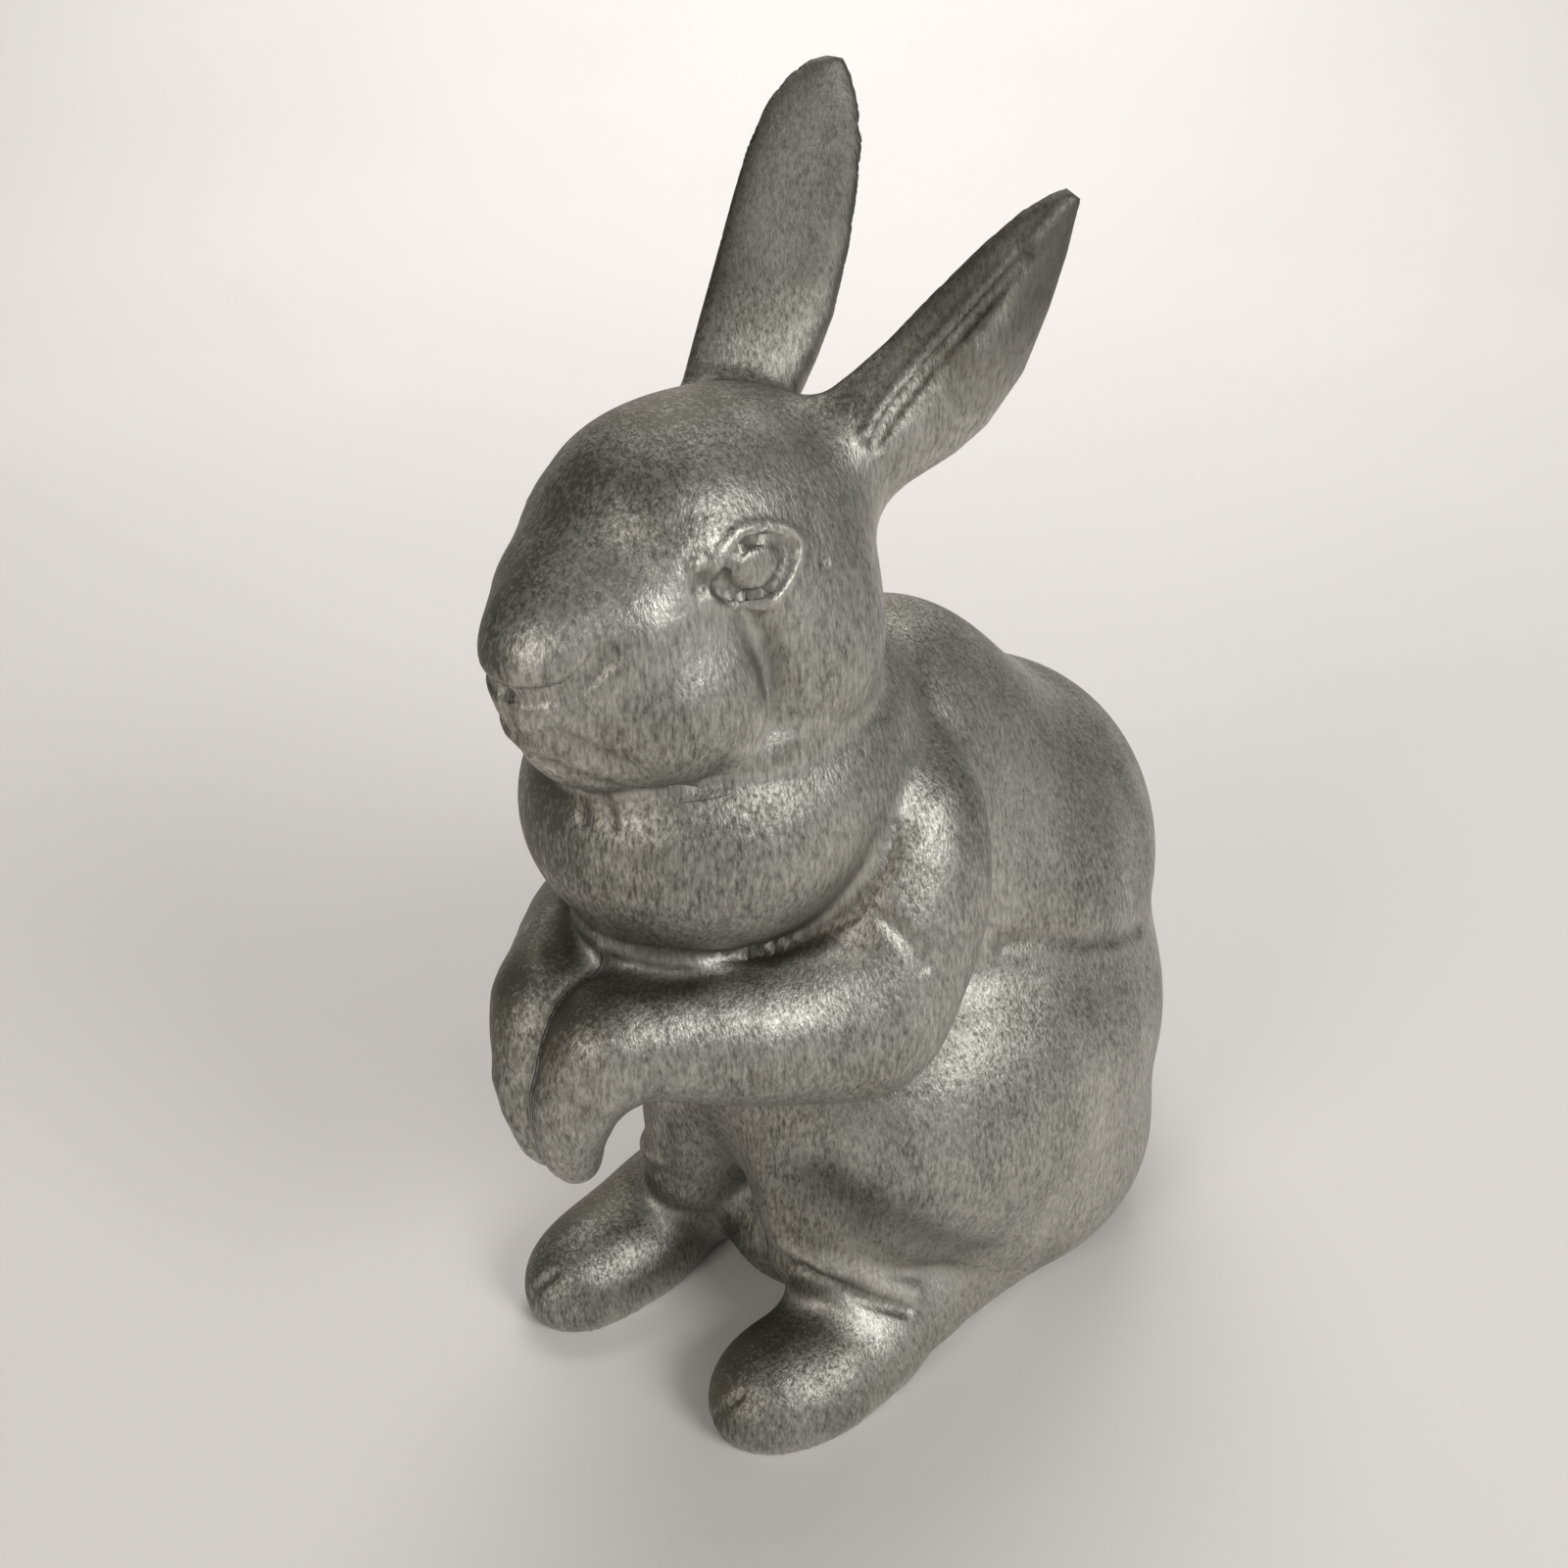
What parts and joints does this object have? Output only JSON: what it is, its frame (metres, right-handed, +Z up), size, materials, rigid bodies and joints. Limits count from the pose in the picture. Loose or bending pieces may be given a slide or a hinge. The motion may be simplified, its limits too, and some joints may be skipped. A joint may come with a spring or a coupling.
{
  "type": "seated rabbit figure",
  "caption": "Free-standing cast-aluminium rabbit sitting upright on its haunches with folded forepaws; a garden or shelf ornament that rests on its hind feet and rump.",
  "frame": {"origin": "middle of the overall box at floor level, under the figure", "axes": "+Z up through the ears; the rabbit faces -Y, and its own left side is +X"},
  "size_m": [0.1462, 0.2558, 0.3365],
  "materials": {
    "cast_aluminium": "sand-cast surface, brushed and patinated dark in the recesses, rubbed bright on the high spots",
    "dowel_steel": "plain turned steel, hidden inside the figure"
  },
  "bodies": {
    "root": {"body_left": "cast_aluminium", "body_right": "cast_aluminium", "head": "cast_aluminium", "ear_left": "cast_aluminium", "ear_right": "cast_aluminium", "forepaw_left": "cast_aluminium", "forepaw_right": "cast_aluminium", "hind_foot_left": "cast_aluminium", "hind_foot_right": "cast_aluminium", "tail": "cast_aluminium", "neck_sleeve": "dowel_steel", "seam_dowel_1": "dowel_steel", "seam_dowel_2": "dowel_steel", "seam_dowel_3": "dowel_steel", "seam_dowel_4": "dowel_steel", "seam_dowel_5": "dowel_steel", "seam_dowel_6": "dowel_steel", "ear_dowel_left_1": "dowel_steel", "ear_dowel_left_2": "dowel_steel", "ear_dowel_right_1": "dowel_steel", "ear_dowel_right_2": "dowel_steel", "wrist_dowel_left": "dowel_steel", "wrist_dowel_right": "dowel_steel", "ankle_dowel_left_1": "dowel_steel", "ankle_dowel_left_2": "dowel_steel", "ankle_dowel_right_1": "dowel_steel", "ankle_dowel_right_2": "dowel_steel", "tail_dowel": "dowel_steel"}
  },
  "joints": []
}
